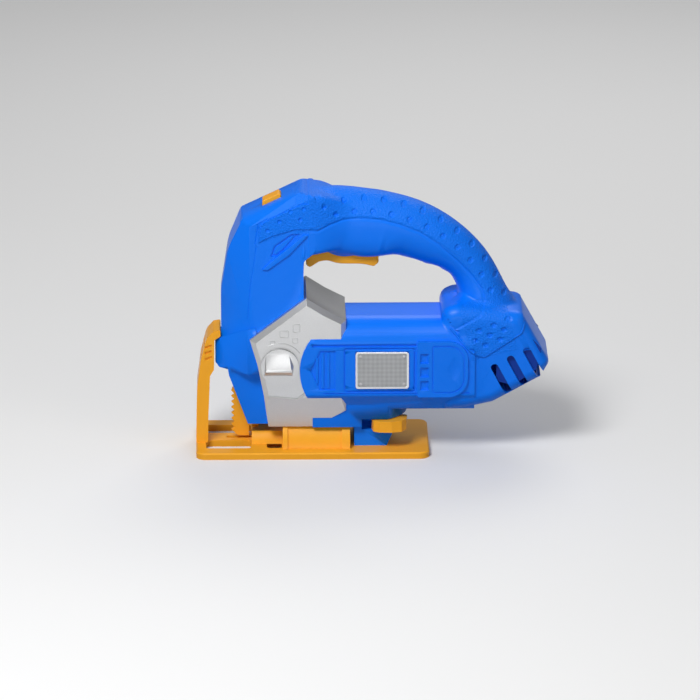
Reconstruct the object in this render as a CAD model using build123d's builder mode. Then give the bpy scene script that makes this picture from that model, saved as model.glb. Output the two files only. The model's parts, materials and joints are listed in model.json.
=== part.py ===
from build123d import *
import math
import os

os.makedirs("parts", exist_ok=True)

# Toy jigsaw, millimetres. +Z is up, the blade end faces -X and the maker's "left" side is -Y.
# The origin is on the floor under the middle of the overall length and width.

# ---- overall ------------------------------------------------------------------------------
front_x = -106.0        # front of the guard and of the shoe
rear_x = 106.0          # rear tip of the tail
top_z = 162.2           # top of the head
shoe_half = 32.0        # half the width of the shoe

# ---- clearances ---------------------------------------------------------------------------
run_fit = 0.06          # radial play of a shaft in its bore
slide_fit = 0.1         # play of a sliding part on each side
free_gap = 0.4          # air between parts that move past each other
seat_gap = 0.1          # air between a fixed part and the hole that it drops into

# ---- housing ------------------------------------------------------------------------------
wall = 2.4              # moulded wall
barrel_half = 27.0      # half the width of the motor barrel
barrel_low_z = 27.4
barrel_high_z = 84.2
barrel_corner = 16.0    # top corner radius of the barrel
barrel_bevel_y = 7.0    # lower bevel of the barrel, across
barrel_bevel_z = 11.0   # lower bevel of the barrel, up
barrel_nose_x = -43.6   # foremost point of the barrel's rounded nose
barrel_nose_z = 56.0
tail_x = 41.0           # where the tail begins behind the barrel
barrel_reach = 20.0     # how far the barrel runs on beside the tail
tail_half = 25.6
tail_round = 8.0
head_half = 19.0
head_nose_half = 8.0    # half width of the column's flat front
column_front_x = -90.6
column_back_x = -41.2
column_bevel_x = -73.5  # where the bevelled front of the column meets its flat side
head_chamfer = 5.0
chin_x = -94.2
chin_low_z = 51.5
chin_high_z = 68.0
chin_half = 20.5
strip_half = 14.5
body_low_z = 17.0       # underside of the body, on the saddle
collar_half = 26.0
collar_wall = 1.8
collar_bevel = 3.0
base_half = 22.0        # lobe under the barrel
base_rear_x = 21.0
base_low_z = 21.9
foot_half = 18.0
foot_front_x = -11.0
foot_rear_x = 13.0
foot_high_z = 14.2

# ---- shoe ---------------------------------------------------------------------------------
shoe_thick = 4.0
shoe_rear_x = 34.0
guard_half = 11.0
saddle_radius = 24.0
saddle_front_x = -54.0
saddle_rear_x = -13.5
nose_saddle_radius = 15.0
nose_saddle_front_x = -72.5

# ---- drive --------------------------------------------------------------------------------
module = 0.6
pinion_teeth = 8
idler_teeth = 32
idler_small_teeth = 10
crank_teeth = 36
crank_x = -57.0
crank_z = 58.0
idler_angle = 10.0      # degrees, direction from the crank axle to the idler axle
motor_angle = -10.0     # degrees, direction from the idler axle to the motor shaft
crank_throw = 4.0
axle_radius = 1.5
motor_shaft_radius = 1.0
motor_radius = 10.0
motor_flat = 7.6        # half the distance across the motor's flats
motor_long = 21.0
plate_thick = 2.0
outer_plate_y = -19.6   # outer face of the gearbox frame
inner_plate_y = -6.4    # inner face of the gearbox cover
gear_wide = 2.6
high_gear_y = -16.6     # outer face of the first gear pair
low_gear_y = -13.2      # outer face of the second gear pair
pin_end_y = -3.6

# ---- blade --------------------------------------------------------------------------------
blade_front_x = -84.8
blade_back_x = -74.2
blade_low_z = 5.0
blade_half = 0.8
blade_teeth_z = 33.5     # top of the toothed edge
tooth_pitch = 3.5
tooth_deep = 2.0
rod_half_x = 4.0
rod_x = -77.0
rod_half_y = 3.0
rod_low_z = 46.0
rod_high_z = 92.0
stroke = 4.0

# ---- power --------------------------------------------------------------------------------
cell_radius = 7.15
cell_long = 50.4
cell_y = 14.6
cell_x = -4.0           # front end of the cells
cell_low_z = 47.6
cell_pitch = 16.2
tray_wall = 1.5
spring_room = 4.0
door_play = 0.25

# ---- controls -----------------------------------------------------------------------------
trigger_half = 7.0
trigger_pivot_x = -0.6
trigger_pivot_z = 127.0
trigger_pin_radius = 1.5
knob_x = -55.5
knob_z = 56.7
knob_radius = 11.4
lock_x = -60.0
lock_half_x = 5.6
lock_half_y = 5.0
lock_slope = 25.5       # degrees, slope of the head's top
lock_proud = 2.8
lever_pin_x = 8.0
lever_pin_y = -5.0
lever_low_z = 14.6
lever_high_z = 21.4
screw_radius = 1.3
screw_head_radius = 2.9
screw_head_long = 2.0

idler_x = crank_x + module * (crank_teeth + idler_small_teeth) / 2 * math.cos(math.radians(idler_angle))
idler_z = crank_z + module * (crank_teeth + idler_small_teeth) / 2 * math.sin(math.radians(idler_angle))
motor_x = idler_x + module * (idler_teeth + pinion_teeth) / 2 * math.cos(math.radians(motor_angle))
motor_z = idler_z + module * (idler_teeth + pinion_teeth) / 2 * math.sin(math.radians(motor_angle))
cell_high_z = cell_low_z + cell_pitch
slope = math.tan(math.radians(lock_slope))
head_peak_x = -42.0     # ridge where the sloped top of the head ends


def side(y=0.0):
    """Side-view plane at a given y: its x runs along +X, its y along +Z and it looks along -Y."""
    return Plane(origin=(0, y, 0), x_dir=(1, 0, 0), z_dir=(0, -1, 0))


def front_plane(x):
    """Cross-section plane at a given x: its x runs along +Y, its y along +Z and it looks along +X."""
    return Plane(origin=(x, 0, 0), x_dir=(0, 1, 0), z_dir=(1, 0, 0))


def profile(plane, points, radii, inset=0):
    """Closed outline with rounded corners, shrunk evenly by the inset, as a sketch."""
    with BuildSketch(plane) as face:
        with BuildLine():
            FilletPolyline(*points, radius=radii, close=True)
        make_face()
        if inset:
            offset(amount=-inset, kind=Kind.INTERSECTION)
    return face.sketch


def grown(points, amount, y=0.0):
    """Side-view outline grown or shrunk evenly, as a sketch at a given y."""
    with BuildSketch(side(y)) as face:
        with BuildLine():
            Polyline(*points, close=True)
        make_face()
        if amount:
            offset(amount=amount, kind=Kind.INTERSECTION)
    return face.sketch


def plan(points):
    """Plan-view outline mirrored about the mid-plane, as a sketch on the floor."""
    mirrored = [(x, -y) for x, y in reversed(points)]
    with BuildSketch(Plane.XY) as face:
        with BuildLine():
            Polyline(*points, *mirrored, close=True)
        make_face()
    return face.sketch


def barrel_profile(inset):
    """Side view of the barrel with its rounded nose."""
    nose = barrel_nose_x + inset
    low = barrel_low_z + inset
    high = barrel_high_z - inset
    reach = tail_x + barrel_reach - inset
    with BuildSketch(side()) as face:
        with BuildLine():
            arc = ThreePointArc((nose + 13, low), (nose, barrel_nose_z), (nose + 20.5, high))
            Polyline(arc @ 1, (reach, high), (reach, low), arc @ 0)
        make_face()
    return face.sketch


def barrel_section(inset):
    """Cross section of the barrel: round shoulders above, flat sides, bevels below."""
    half = barrel_half - inset
    high = barrel_high_z - inset
    low = barrel_low_z + inset
    bevel = barrel_low_z + barrel_bevel_z + inset * 0.5
    narrow = barrel_half - barrel_bevel_y - inset
    points = [(-half, high), (half, high), (half, bevel), (narrow, low), (-narrow, low), (-half, bevel)]
    shoulder = barrel_corner - inset
    return profile(front_plane(barrel_nose_x - 1), points, [shoulder, shoulder, 3, 3, 3, 3])


def barrel_body(inset):
    extrude(barrel_section(inset), amount=tail_x + 40 - barrel_nose_x)
    extrude(barrel_profile(inset), amount=barrel_half + 5, both=True, mode=Mode.INTERSECT)


def tail_points():
    """Side view of the tail: a raised shoulder, a raked back and a raked underside."""
    tip_z = barrel_nose_z + 1
    return [
        (tail_x, barrel_low_z),
        (tail_x, barrel_high_z + 6),
        (tail_x + 9, barrel_high_z + 9.8),
        (rear_x - 17, barrel_high_z + 4),
        (rear_x, tip_z),
        (rear_x - 5, tip_z - 9),
        (rear_x - 34, barrel_low_z + 4.5),
        (rear_x - 50, barrel_low_z + 1),
    ]


# Stations of the handle from the head to the foot: x, z, tangent (degrees), half height, half width.
handle_stations = [
    (-48.0, 141.2, 0, 18.8, 14.6),
    (-30.0, 142.0, -2, 18.6, 15.0),
    (-4.0, 139.0, -5, 20.0, 15.5),
    (22.0, 135.3, -17, 17.2, 15.5),
    (38.2, 128.2, -28, 15.6, 15.0),
    (49.6, 121.2, -43, 13.4, 14.2),
    (58.4, 112.3, -60, 12.4, 13.8),
    (63.6, 102.4, -73, 13.0, 14.6),
    (66.4, 92.0, -77, 15.6, 17.0),
    (69.6, 78.0, -77, 16.8, 20.0),
]
handle_shift = (rear_x - 106.0)


def handle_body(inset):
    """Oval handle lofted through its stations. Its rear end follows the tail."""
    first, last = handle_stations[0][0], handle_stations[-1][0]
    sections = []
    for x, z, turn, high, wide in handle_stations:
        angle = math.radians(turn)
        share = (x - first) / (last - first)
        plane = Plane(
            origin=(x + handle_shift * share, 0, z),
            x_dir=(0, 1, 0),
            z_dir=(math.cos(angle), 0, math.sin(angle)),
        )
        with BuildSketch(plane) as section:
            Ellipse(wide - inset, high - inset)
        sections.append(section.sketch.face())
    loft(sections)


def head_points():
    """Side view of the head and its column down to the collar."""
    shoulder_x = column_front_x + 12.5
    return [
        (column_front_x, 60),
        (column_front_x, 98),
        (column_front_x + 4.6, 127),
        (shoulder_x, top_z - slope * (head_peak_x - shoulder_x)),
        (head_peak_x, top_z),
        (head_peak_x + 8, top_z - 2.5),
        (head_peak_x + 8, 126),
        (column_back_x, 120),
        (column_back_x, 88),
        (column_back_x - 14, 60),
    ]


def head_body(inset):
    """Column and head: side view crossed with a plan that narrows to the front."""
    half = head_half - inset
    extrude(profile(side(), head_points(), [2, 20, 30, 3, 5, 3, 3, 4, 6, 2], inset), amount=half, both=True)
    cut = head_chamfer - inset / 2
    turn = math.radians(lock_slope)
    rake = Plane(
        origin=(head_peak_x, 0, top_z - inset), x_dir=(0, 1, 0), z_dir=(math.cos(turn), 0, math.sin(turn))
    )
    for flank in (-1, 1):
        corner = [(half - cut, 0), (half - cut, 5), (half + 5, 5), (half + 5, -cut), (half, -cut)]
        extrude(
            profile(rake, [(flank * y, z) for y, z in corner], 0), amount=50, both=True, mode=Mode.SUBTRACT
        )
    outline = plan([
        (column_front_x + inset - 1, head_nose_half - inset * 0.6),
        (column_bevel_x + inset, half),
        (head_peak_x + 20, half),
    ])
    extrude(outline, amount=top_z + 10, mode=Mode.INTERSECT)


def rod(x, z, radius, low_y, high_y, mode=Mode.ADD):
    """Cylinder across the tool, from low_y to high_y."""
    with BuildSketch(side(high_y)) as face:
        with Locations((x, z)):
            Circle(radius)
    extrude(face.sketch, amount=high_y - low_y, mode=mode)


def post(x, y, radius, low_z, high_z, mode=Mode.ADD):
    """Upright cylinder."""
    with BuildSketch(Plane.XY.offset(low_z)) as face:
        with Locations((x, y)):
            Circle(radius)
    extrude(face.sketch, amount=high_z - low_z, mode=mode)


def slab(points, radii, low_y, high_y, mode=Mode.ADD):
    """Side-view outline with rounded corners, filled from low_y to high_y."""
    extrude(profile(side(high_y), points, radii), amount=high_y - low_y, mode=mode)


def block(low, high, mode=Mode.ADD):
    """Box between two corners."""
    size = [b - a for a, b in zip(low, high)]
    with Locations(tuple((a + b) / 2 for a, b in zip(low, high))):
        Box(*size, mode=mode)


def collar_points():
    """Side view of the silver gear collar between the column and the barrel."""
    return [
        (-73.5, 72.5),
        (-58.0, 84.3),
        (-48.5, 91.6),
        (-39.6, 98.4),
        (-28.0, 91.0),
        (-16.0, 84.8),
        (-16.0, 28.0),
        (-35.0, body_low_z),
        (-62.5, body_low_z),
        (-65.2, 37.5),
        (-69.0, 57.0),
    ]


def collar_body(inset):
    """Gear collar: bevelled above, tucked in below."""
    half = collar_half - inset
    extrude(grown(collar_points(), -inset), amount=half - collar_bevel, both=True)
    for flank in (-1, 1):
        wide = grown(collar_points(), -inset, flank * (half - collar_bevel))
        narrow = grown(collar_points(), -inset - collar_bevel, flank * half)
        loft([wide.face(), narrow.face()], ruled=True)
    low = body_low_z - 1
    tuck = half - 6
    points = [(-half, 110), (half, 110), (half, 37), (tuck, low), (-tuck, low), (-half, 37)]
    extrude(profile(front_plane(-80), points, 0.5), amount=80, mode=Mode.INTERSECT)


chin_points = [
    (-70.0, 79.0),
    (-76.0, 77.5),
    (column_front_x, chin_high_z + 2.5),
    (chin_x, chin_high_z),
    (chin_x, chin_low_z + 3),
    (chin_x + 2.4, chin_low_z),
    (-74.6, chin_low_z - 1.5),
    (-66.0, chin_low_z - 1.5),
]
strip_points = [
    (-87.0, chin_low_z + 2),
    (-86.0, chin_low_z - 4),
    (-74.8, body_low_z),
    (-61.0, body_low_z),
    (-64.0, 60.0),
]


def chin_body(inset):
    extrude(grown(chin_points, -inset), amount=chin_half - inset, both=True)
    outline = plan([
        (chin_x - 1 + inset, head_nose_half - inset * 0.6),
        (column_bevel_x - 1, chin_half - inset),
        (-50.0, chin_half - inset),
    ])
    extrude(outline, amount=top_z, mode=Mode.INTERSECT)


def strip_body(inset):
    extrude(grown(strip_points, -inset), amount=strip_half - inset, both=True)


def tail_body(inset):
    half = tail_half - inset
    extrude(profile(side(), tail_points(), [3, 8, 12, 7, 4, 4, 10, 10], inset), amount=half, both=True)
    rim = edges().filter_by(lambda e: abs(e.center().Y) > half - 0.01)
    fillet(rim, tail_round - inset)


base_points = [
    (-36.0, body_low_z),
    (-6.5, body_low_z),
    (-6.5, base_low_z),
    (base_rear_x, base_low_z),
    (base_rear_x, barrel_low_z + 5),
    (-36.0, barrel_low_z + 5),
]


def base_body(inset):
    """Lobe under the barrel, rounded at the rear."""
    half = base_half - inset
    extrude(grown(base_points, -inset), amount=half, both=True)
    with BuildSketch(Plane.XY) as outline:
        with BuildLine():
            start = (base_rear_x - 12, half)
            arc = ThreePointArc(start, (base_rear_x - inset, 0), (base_rear_x - 12, -half))
            Polyline(arc @ 1, (-60, -half), (-60, half), arc @ 0)
        make_face()
    extrude(outline.sketch, amount=top_z, mode=Mode.INTERSECT)


foot_points = [
    (foot_front_x, shoe_thick),
    (foot_rear_x - 4.5, shoe_thick),
    (foot_rear_x, foot_high_z),
    (foot_rear_x, barrel_low_z),
    (foot_front_x, barrel_low_z),
]

# ---- whole forms, outside and inside --------------------------------------------------------
with BuildPart() as barrel_form:
    barrel_body(0)

with BuildPart() as barrel_room:
    barrel_body(wall)

with BuildPart() as tail_form:
    tail_body(0)

with BuildPart() as tail_room:
    tail_body(wall)

with BuildPart() as handle_form:
    handle_body(0)

with BuildPart() as handle_room:
    handle_body(wall)

with BuildPart() as head_form:
    head_body(0)

with BuildPart() as head_room:
    head_body(wall)

with BuildPart() as collar_form:
    collar_body(0)

with BuildPart() as core_form:
    collar_body(collar_wall)

with BuildPart() as core_room:
    collar_body(collar_wall + wall)

with BuildPart() as chin_form:
    chin_body(0)

with BuildPart() as chin_room:
    chin_body(wall)

with BuildPart() as strip_form:
    strip_body(0)

with BuildPart() as strip_room:
    strip_body(wall)

with BuildPart() as base_form:
    base_body(0)

with BuildPart() as base_room:
    base_body(wall)

outside_forms = (
    barrel_form, tail_form, handle_form, head_form, core_form, chin_form, strip_form, base_form,
)
inside_forms = (
    barrel_room, tail_room, handle_room, head_room, core_room, chin_room, strip_room, base_room,
)

with BuildPart() as body_form:
    for form in outside_forms:
        add(form.part)
    extrude(grown(foot_points, 0), amount=foot_half, both=True)

with BuildPart() as body_room:
    for form in inside_forms:
        add(form.part)

# ---- fastener places ------------------------------------------------------------------------
# Housing screws run across the tool: x, z and the y of the seat of the head in the right half.
housing_screw_places = [
    (-56.0, 112.0, 12.0),
    (-40.0, 152.0, 8.0),
    (20.0, 143.0, 8.0),
    (57.0, 114.0, 6.0),
    (rear_x - 16, 64.0, 17.0),
    (rear_x - 40, 40.0, 12.0),
    (8.0, 33.4, 11.0),
    (-68.5, 29.0, 6.0),
]
boss_radius = 3.4
gear_reach = module * crank_teeth / 2 + module
pilot_y = -9.0
post_rise = 15.0
frame_posts = [
    (crank_x - 4.0, crank_z + post_rise),
    (crank_x - 0.5, crank_z - post_rise),
    (motor_x + 1.0, crank_z + post_rise),
    (motor_x + 1.0, crank_z - post_rise),
]
core_face_y = -(collar_half - collar_wall - wall)
saddle_screw_places = [(-30.0, 10.0), (-30.0, -10.0)]
foot_screw_places = [(1.0, 11.0), (1.0, -11.0)]
guard_screw_places = [(front_x + 3.5, 6.0), (front_x + 3.5, -6.0)]
saddle_screw_top = 28.0
foot_screw_top = 13.0
guard_screw_top = 16.0
shelf_high_z = 145.0
switch_x = -16.0
switch_low_z = 139.0
switch_high_z = 149.0
spring_x = -32.0
trigger_top_z = 131.0
lock_flange_z = 143.2
lock_flange_thick = 2.6
lock_shelf_z = 135.7
lever_slot_front_x = -6.5
window = (
    cell_x - 1.8,
    cell_low_z - cell_radius - 1.9,
    cell_x + cell_long + spring_room + 8.2,
    cell_high_z + cell_radius + 1.9,
)
tray_mouth_y = barrel_half - wall
plate_low = (-10.4, 43.0)
plate_high = (21.6, 66.2)


def window_points(play):
    """Side-view outline of the battery window, shrunk by some play."""
    x0, z0, x1, z1 = window[0] + play, window[1] + play, window[2] - play, window[3] - play
    return [(x0, z0), (x1, z0), (x1, z1), (x0, z1)]


# ---- housing --------------------------------------------------------------------------------
with BuildPart() as ribs:
    for x, z, seat in housing_screw_places:
        rod(x, z, boss_radius, -30, 30)
    for x, z in frame_posts:
        rod(x, z, boss_radius, -30, outer_plate_y)
    rod(trigger_pivot_x, trigger_pivot_z, 3.2, -20, -trigger_half - free_gap)
    rod(trigger_pivot_x, trigger_pivot_z, 3.2, trigger_half + free_gap, 20)
    block((spring_x - 4.5, -20, shelf_high_z - 2), (spring_x + 4.5, 20, shelf_high_z))
    block((switch_x - 9, -20, switch_high_z), (switch_x + 9, 20, switch_high_z + 2))
    block((lock_x - 7, -20, lock_shelf_z - 2.5), (lock_x + 7, 20, lock_shelf_z))
    for x, y in saddle_screw_places:
        post(x, y, boss_radius, body_low_z, saddle_screw_top + 1)
    add(body_form.part, mode=Mode.INTERSECT)

with BuildPart() as shell:
    add(body_form.part)
    add(body_room.part, mode=Mode.SUBTRACT)
    add(ribs.part)
    # trigger slot in the underside of the handle
    block(
        (column_back_x + 0.1, -trigger_half - free_gap, 104),
        (trigger_pivot_x + 5.6, trigger_half + free_gap, trigger_top_z + 6),
        mode=Mode.SUBTRACT,
    )
    # blade slot through the front strip
    block(
        (column_front_x, -blade_half - free_gap, 10),
        (blade_back_x + 1.5, blade_half + free_gap, chin_low_z - 2),
        mode=Mode.SUBTRACT,
    )
    # way through from the gear case to the column, for the crank gear and the yoke
    block(
        (column_bevel_x - 1, low_gear_y - 1, crank_z - gear_reach - 1),
        (crank_x, 3, crank_z + gear_reach + 1),
        mode=Mode.SUBTRACT,
    )
    # room for the stroke of the blade carrier
    block(
        (rod_x - rod_half_x - free_gap, -rod_half_y - free_gap, rod_low_z - stroke),
        (rod_x + rod_half_x + free_gap, rod_half_y + free_gap, rod_high_z + stroke + 1),
        mode=Mode.SUBTRACT,
    )
    # lock button hole in the sloped top
    block(
        (lock_x - lock_half_x - slide_fit, -lock_half_y - slide_fit, 145),
        (lock_x + lock_half_x + slide_fit, lock_half_y + slide_fit, top_z + 5),
        mode=Mode.SUBTRACT,
    )
    # lever slot, open to the left
    block(
        (lever_slot_front_x, -40, foot_high_z), (foot_rear_x + 20, -2, base_low_z), mode=Mode.SUBTRACT
    )
    # vents in the tail
    for k in range(3):
        vent_x = rear_x - 29 + k * 9.6
        vent_z = 47.5 + k * 5.2
        with BuildSketch(side(40)) as vent:
            with Locations((vent_x, vent_z)):
                SlotOverall(22, 4.6, rotation=-62)
        extrude(vent.sketch, amount=80, mode=Mode.SUBTRACT)
    for x, z, seat in housing_screw_places:
        rod(x, z, screw_radius + run_fit, pilot_y - 1, 40, mode=Mode.SUBTRACT)
        rod(x, z, screw_head_radius + 0.3, seat, 40, mode=Mode.SUBTRACT)
    for x, y in saddle_screw_places:
        post(x, y, screw_radius + run_fit, 10, saddle_screw_top + 0.3, mode=Mode.SUBTRACT)
    for x, y in foot_screw_places:
        post(x, y, screw_radius + run_fit, 0, foot_screw_top + 0.3, mode=Mode.SUBTRACT)
    rod(trigger_pivot_x, trigger_pivot_z, trigger_pin_radius + run_fit, -9.2, 9.2, mode=Mode.SUBTRACT)
    post(lever_pin_x, lever_pin_y - 3, trigger_pin_radius + run_fit, 8, base_low_z + 1.6, mode=Mode.SUBTRACT)

with BuildPart() as left_housing:
    add(shell.part)
    split(bisect_by=Plane.XZ, keep=Keep.TOP)
    # pocket of the name plate, knob stem and gearbox screws
    block(
        (plate_low[0] - seat_gap, -40, plate_low[1] - seat_gap),
        (plate_high[0] + seat_gap, -barrel_half + 0.8, plate_high[1] + seat_gap),
        mode=Mode.SUBTRACT,
    )
    rod(knob_x, knob_z, 5 + run_fit, -40, -10, mode=Mode.SUBTRACT)
    for x, z in frame_posts:
        rod(x, z, screw_radius + run_fit, core_face_y - 1.2, 0, mode=Mode.SUBTRACT)
left_housing.part.label = "left_housing"

with BuildPart() as right_housing:
    add(shell.part)
    split(bisect_by=Plane.XZ, keep=Keep.BOTTOM)
    slab(window_points(0), 2, tray_mouth_y - 3, 40, mode=Mode.SUBTRACT)
right_housing.part.label = "right_housing"

with BuildPart() as collar_skin:
    add(collar_form.part)
    for form in outside_forms:
        add(form.part, mode=Mode.SUBTRACT)

with BuildPart() as left_collar:
    add(collar_skin.part)
    split(bisect_by=Plane.XZ, keep=Keep.TOP)
    rod(knob_x, knob_z, 5 + run_fit, -40, -10, mode=Mode.SUBTRACT)
left_collar.part.label = "left_collar"

with BuildPart() as right_collar:
    add(collar_skin.part)
    split(bisect_by=Plane.XZ, keep=Keep.BOTTOM)
right_collar.part.label = "right_collar"

with BuildPart() as nameplate:
    slab(
        [plate_low, (plate_high[0], plate_low[1]), plate_high, (plate_low[0], plate_high[1])],
        2.5, -barrel_half - 0.9, -barrel_half + 0.8,
    )
nameplate.part.label = "nameplate"

cover_points = [(26.5, 37.6), (57.0, 37.6), (57.0, 72.6), (26.5, 72.6)]

with BuildPart() as side_cover:
    slab(cover_points, [1.5, 12, 12, 1.5], -barrel_half - 1.4, -barrel_half + 5)
    add(barrel_form.part, mode=Mode.SUBTRACT)
    add(tail_form.part, mode=Mode.SUBTRACT)
side_cover.part.label = "side_cover"

# ---- shoe, saddle and guard -----------------------------------------------------------------
with BuildPart() as shoe:
    with BuildSketch(Plane.XY) as sole:
        with Locations(((front_x + shoe_rear_x) / 2, 0)):
            RectangleRounded(shoe_rear_x - front_x, 2 * shoe_half, 6)
        for flank in (-1, 1):
            # two windows each side of the central spine, and the blade slot in the spine
            with Locations((front_x + 19.5, flank * 14.5)):
                RectangleRounded(27, 15, 2, mode=Mode.SUBTRACT)
            with Locations((front_x + 47, flank * 14.5)):
                RectangleRounded(9, 15, 2, mode=Mode.SUBTRACT)
        with Locations(((blade_front_x + blade_back_x) / 2, 0)):
            RectangleRounded(blade_back_x - blade_front_x + 6, 4, 1.5, mode=Mode.SUBTRACT)
    extrude(sole.sketch, amount=shoe_thick)
    for x, y in saddle_screw_places + foot_screw_places + guard_screw_places:
        post(x, y, screw_radius + run_fit, -1, shoe_thick + 1, mode=Mode.SUBTRACT)
        post(x, y, screw_head_radius + 0.3, -1, 0.4 + screw_head_long, mode=Mode.SUBTRACT)
    rim = edges().filter_by(Plane.XY).group_by(Axis.Z)[-1].filter_by(lambda e: e.length > 60)
    chamfer(rim, 0.8)
shoe.part.label = "shoe"

with BuildPart() as saddle:
    for low_x, high_x, radius, top in (
        (saddle_front_x, saddle_rear_x, saddle_radius, body_low_z),
        (nose_saddle_front_x, saddle_front_x, nose_saddle_radius, 11.0),
    ):
        with BuildSketch(front_plane(low_x)) as arch:
            Circle(radius)
            with Locations((0, shoe_thick - 50)):
                Rectangle(200, 100, mode=Mode.SUBTRACT)
            with Locations((0, top + 50)):
                Rectangle(200, 100, mode=Mode.SUBTRACT)
        extrude(arch.sketch, amount=high_x - low_x)
    for low_x, high_x in ((saddle_front_x, saddle_front_x + 3), (saddle_rear_x - 5, saddle_rear_x)):
        with BuildSketch(front_plane(low_x)) as arch:
            Circle(saddle_radius + 1.2)
            with Locations((0, shoe_thick - 50)):
                Rectangle(200, 100, mode=Mode.SUBTRACT)
            with Locations((0, body_low_z + 50)):
                Rectangle(200, 100, mode=Mode.SUBTRACT)
        extrude(arch.sketch, amount=high_x - low_x)
    block((nose_saddle_front_x - 1, -2.5, 0), (nose_saddle_front_x + 4, 2.5, 12), mode=Mode.SUBTRACT)
    for x, y in saddle_screw_places:
        post(x, y, screw_radius + run_fit, 0, 40, mode=Mode.SUBTRACT)
saddle.part.label = "saddle"

guard_points = [
    (column_front_x - 0.4, 75.0),
    (-95.2, 74.2),
    (-99.4, 69.5),
    (-101.2, 63.0),
    (-102.9, 56.0),
    (-105.2, 38.6),
    (front_x + 0.3, 22.0),
    (front_x, shoe_thick),
    (-98.8, shoe_thick),
    (-98.6, 20.0),
    (-97.4, 46.0),
    (-95.0, 50.0),
    (-94.7, 68.6),
    (column_front_x - 0.4, 71.0),
]

with BuildPart() as guard:
    slab(guard_points, [1, 2, 8, 10, 20, 20, 10, 0.5, 1, 10, 1, 2, 1.5, 1], -guard_half, guard_half)
    for k in range(3):
        z = 56 + 4.2 * k
        with Locations((-100, 0, z)):
            Box(14, 2 * guard_half - 8, 1.6, rotation=(0, 18, 0), mode=Mode.SUBTRACT)
    for x, y in guard_screw_places:
        post(x, y, screw_radius + run_fit, 0, guard_screw_top + 0.3, mode=Mode.SUBTRACT)
guard.part.label = "guard"

with BuildPart() as shoe_screws:
    for places, top in (
        (saddle_screw_places, saddle_screw_top),
        (foot_screw_places, foot_screw_top),
        (guard_screw_places, guard_screw_top),
    ):
        for x, y in places:
            post(x, y, screw_radius, 0.4 + screw_head_long, top)
            post(x, y, screw_head_radius, 0.4, 0.4 + screw_head_long)
            with Locations((x, y, 0.4)):
                Box(0.8, 4.2, 1.8, mode=Mode.SUBTRACT)
shoe_screws.part.label = "shoe_screws"

with BuildPart() as housing_screws:
    for x, z, seat in housing_screw_places:
        rod(x, z, screw_radius, pilot_y, seat)
        rod(x, z, screw_head_radius, seat, seat + screw_head_long)
        with Locations((x, seat + screw_head_long, z)):
            Box(0.8, 2, 4.2, mode=Mode.SUBTRACT)
            Box(4.2, 2, 0.8, mode=Mode.SUBTRACT)
housing_screws.part.label = "housing_screws"

# ---- gear train -----------------------------------------------------------------------------
tooth_addendum = 0.85
tooth_dedendum = 1.15


def gear_points(teeth, x, z, phase):
    """Closed outline of a spur gear with straight-flanked teeth and ample backlash."""
    pitch_radius = module * teeth / 2
    rings = (
        (pitch_radius - module * tooth_dedendum, -0.31),
        (pitch_radius + module * tooth_addendum, -0.13),
        (pitch_radius + module * tooth_addendum, 0.13),
        (pitch_radius - module * tooth_dedendum, 0.31),
    )
    points = []
    for k in range(teeth):
        for radius, share in rings:
            angle = math.radians(phase + 360 * (k + share) / teeth)
            points.append((x + radius * math.cos(angle), z + radius * math.sin(angle)))
    return points


def toothed(teeth, x, z, phase, low_y, high_y):
    """Spur gear disc across the tool."""
    with BuildSketch(side(high_y)) as face:
        with BuildLine():
            Polyline(*gear_points(teeth, x, z, phase), close=True)
        make_face()
    extrude(face.sketch, amount=high_y - low_y, dir=(0, -1, 0))


window_radius = module * crank_teeth / 2 - 2.4
pinion_phase = motor_angle + 180 + 180 / pinion_teeth
plate_points = [
    (frame_posts[0][0] - 3, frame_posts[0][1] + 3),
    (frame_posts[1][0] - 3, frame_posts[1][1] - 3),
    (frame_posts[3][0] + 3.4, frame_posts[3][1] - 3),
    (frame_posts[2][0] + 3.4, frame_posts[2][1] + 3),
]

with BuildPart() as crank_gear:
    toothed(crank_teeth, crank_x, crank_z, idler_angle, low_gear_y, low_gear_y + gear_wide)
    rod(crank_x, crank_z, 3.0, outer_plate_y + plate_thick + 0.2, low_gear_y)
    rod(crank_x, crank_z, window_radius - free_gap, low_gear_y + gear_wide, inner_plate_y - 0.2)
    rod(crank_x, crank_z + crank_throw, 1.8, inner_plate_y - 0.2, pin_end_y)
    rod(crank_x, crank_z, axle_radius + run_fit, -30, inner_plate_y - 1.4, mode=Mode.SUBTRACT)
    for k in range(5):
        angle = math.radians(54 + 72 * k)
        hole_x = crank_x + 8.9 * math.cos(angle)
        hole_z = crank_z + 8.9 * math.sin(angle)
        rod(hole_x, hole_z, 0.9, -30, 0, mode=Mode.SUBTRACT)
crank_gear.part.label = "crank_gear"

with BuildPart() as crank_axle:
    rod(crank_x, crank_z, axle_radius, outer_plate_y, inner_plate_y - 1.7)
crank_axle.part.label = "crank_axle"

with BuildPart() as idler_gear:
    toothed(idler_teeth, idler_x, idler_z, motor_angle, high_gear_y, high_gear_y + gear_wide)
    toothed(
        idler_small_teeth, idler_x, idler_z, idler_angle + 180 + 180 / idler_small_teeth,
        high_gear_y + gear_wide, low_gear_y + gear_wide + 0.4,
    )
    rod(idler_x, idler_z, 2.2, outer_plate_y + plate_thick + 0.2, high_gear_y)
    rod(idler_x, idler_z, 2.2, low_gear_y + gear_wide + 0.4, inner_plate_y - plate_thick - 0.2)
    rod(idler_x, idler_z, axle_radius + run_fit, -30, 0, mode=Mode.SUBTRACT)
idler_gear.part.label = "idler_gear"

with BuildPart() as idler_axle:
    rod(idler_x, idler_z, axle_radius, outer_plate_y, inner_plate_y)
idler_axle.part.label = "idler_axle"

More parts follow.
